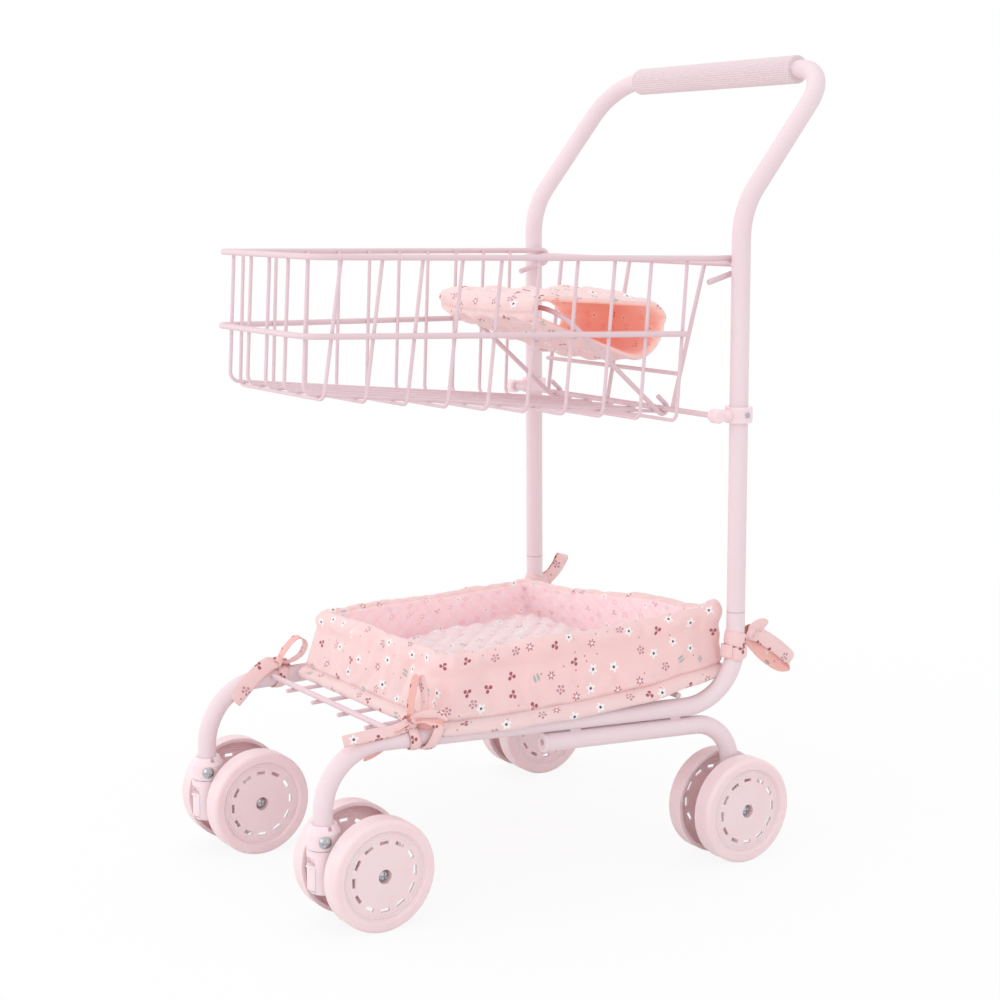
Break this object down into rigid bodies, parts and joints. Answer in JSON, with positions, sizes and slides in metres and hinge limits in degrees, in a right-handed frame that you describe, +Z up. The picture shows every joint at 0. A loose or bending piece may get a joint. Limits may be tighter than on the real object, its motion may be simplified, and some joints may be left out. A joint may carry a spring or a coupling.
{
  "type": "toy shopping trolley",
  "caption": "Toy shopping trolley with a wire basket, folding doll seat, quilted fabric tray, push handle, swivel front casters and twin wheels.",
  "frame": {"origin": "middle of the bounding box on the floor", "axes": "+Z up; -Y is the front, away from the push handle; +X is the pusher's left"},
  "size_m": [0.2996, 0.4114, 0.5644],
  "materials": {
    "tube_paint": "gloss pale pink paint",
    "wire_paint": "satin pale pink dip coat",
    "moulding": "moulded pink plastic",
    "wheel_plastic": "moulded pink plastic",
    "screw_chrome": "bright plated",
    "axle_steel": "bright drawn",
    "print_cotton": "quilted printed cotton",
    "grip_foam": "matt ribbed foam"
  },
  "bodies": {
    "root": {"basket_clamp_left": "moulding", "basket_clamp_right": "moulding", "basket_cross_wires": "wire_paint", "basket_long_wires": "wire_paint", "basket_mid_ring": "wire_paint", "basket_rim": "wire_paint", "basket_wires_left": "wire_paint", "basket_wires_right": "wire_paint", "bottom_rod": "wire_paint", "caster_collar_left": "moulding", "caster_collar_right": "moulding", "clamp_screws": "screw_chrome", "collar_screws": "screw_chrome", "frame_tube_left": "tube_paint", "frame_tube_right": "tube_paint", "handle_grip": "grip_foam", "handle_tube": "tube_paint", "kingpin_left": "axle_steel", "kingpin_right": "axle_steel", "panel_wires": "wire_paint", "rack_cross_wires": "wire_paint", "rack_long_wires": "wire_paint", "rear_axle_left": "axle_steel", "rear_axle_right": "axle_steel", "rear_boot_left": "moulding", "rear_boot_right": "moulding", "rear_leg_left": "tube_paint", "rear_leg_plugs": "moulding", "rear_leg_right": "tube_paint", "rear_wheel_screws": "screw_chrome", "seat_pad": "print_cotton", "tie_front_left": "print_cotton", "tie_front_right": "print_cotton", "tie_rear_left": "print_cotton", "tie_rear_right": "print_cotton", "top_rod": "wire_paint", "tray_liner": "print_cotton", "tray_pad": "print_cotton"},
    "caster_left": {"caster_body_left": "moulding", "front_axle_left": "axle_steel", "front_wheel_screws_left": "screw_chrome"},
    "lock_left": {"swivel_lock_left": "moulding"},
    "front_wheel_left_outer": {"front_wheel_left_outer": "wheel_plastic"},
    "front_wheel_left_inner": {"front_wheel_left_inner": "wheel_plastic"},
    "rear_wheel_left_outer": {"rear_wheel_left_outer": "wheel_plastic"},
    "rear_wheel_left_inner": {"rear_wheel_left_inner": "wheel_plastic"},
    "caster_right": {"caster_body_right": "moulding", "front_axle_right": "axle_steel", "front_wheel_screws_right": "screw_chrome"},
    "lock_right": {"swivel_lock_right": "moulding"},
    "front_wheel_right_outer": {"front_wheel_right_outer": "wheel_plastic"},
    "front_wheel_right_inner": {"front_wheel_right_inner": "wheel_plastic"},
    "rear_wheel_right_outer": {"rear_wheel_right_outer": "wheel_plastic"},
    "rear_wheel_right_inner": {"rear_wheel_right_inner": "wheel_plastic"},
    "seat": {"seat_frame": "wire_paint"}
  },
  "joints": [
    {"name": "caster_left_swivel", "type": "hinge", "parent": "root", "child": "caster_left", "pos_m": [0.0886, -0.19385, 0.0555], "axis": [0, 0, 1], "continuous": true},
    {"name": "lock_left_slide", "type": "slide", "parent": "caster_left", "child": "lock_left", "axis": [0, 0, 1], "range_m": [0, 0.005]},
    {"name": "front_wheel_left_outer_spin", "type": "hinge", "parent": "caster_left", "child": "front_wheel_left_outer", "pos_m": [0.0886, -0.16485, 0.0375], "axis": [1, 0, 0], "continuous": true},
    {"name": "front_wheel_left_inner_spin", "type": "hinge", "parent": "caster_left", "child": "front_wheel_left_inner", "pos_m": [0.0886, -0.16485, 0.0375], "axis": [1, 0, 0], "continuous": true},
    {"name": "rear_wheel_left_outer_spin", "type": "hinge", "parent": "root", "child": "rear_wheel_left_outer", "pos_m": [0.12552, 0.11218, 0.0375], "axis": [1, 0, 0], "continuous": true},
    {"name": "rear_wheel_left_inner_spin", "type": "hinge", "parent": "root", "child": "rear_wheel_left_inner", "pos_m": [0.12552, 0.11218, 0.0375], "axis": [1, 0, 0], "continuous": true},
    {"name": "caster_right_swivel", "type": "hinge", "parent": "root", "child": "caster_right", "pos_m": [-0.0886, -0.19385, 0.0555], "axis": [0, 0, 1], "continuous": true},
    {"name": "lock_right_slide", "type": "slide", "parent": "caster_right", "child": "lock_right", "axis": [0, 0, 1], "range_m": [0, 0.005]},
    {"name": "front_wheel_right_outer_spin", "type": "hinge", "parent": "caster_right", "child": "front_wheel_right_outer", "pos_m": [-0.0886, -0.16485, 0.0375], "axis": [1, 0, 0], "continuous": true},
    {"name": "front_wheel_right_inner_spin", "type": "hinge", "parent": "caster_right", "child": "front_wheel_right_inner", "pos_m": [-0.0886, -0.16485, 0.0375], "axis": [1, 0, 0], "continuous": true},
    {"name": "rear_wheel_right_outer_spin", "type": "hinge", "parent": "root", "child": "rear_wheel_right_outer", "pos_m": [-0.12552, 0.11218, 0.0375], "axis": [1, 0, 0], "continuous": true},
    {"name": "rear_wheel_right_inner_spin", "type": "hinge", "parent": "root", "child": "rear_wheel_right_inner", "pos_m": [-0.12552, 0.11218, 0.0375], "axis": [1, 0, 0], "continuous": true},
    {"name": "seat_fold", "type": "hinge", "parent": "root", "child": "seat", "pos_m": [0, 0.09615, 0.31698], "axis": [-1, 0, 0], "range_deg": [0, 48], "deforming": ["seat_pad"]}
  ]
}
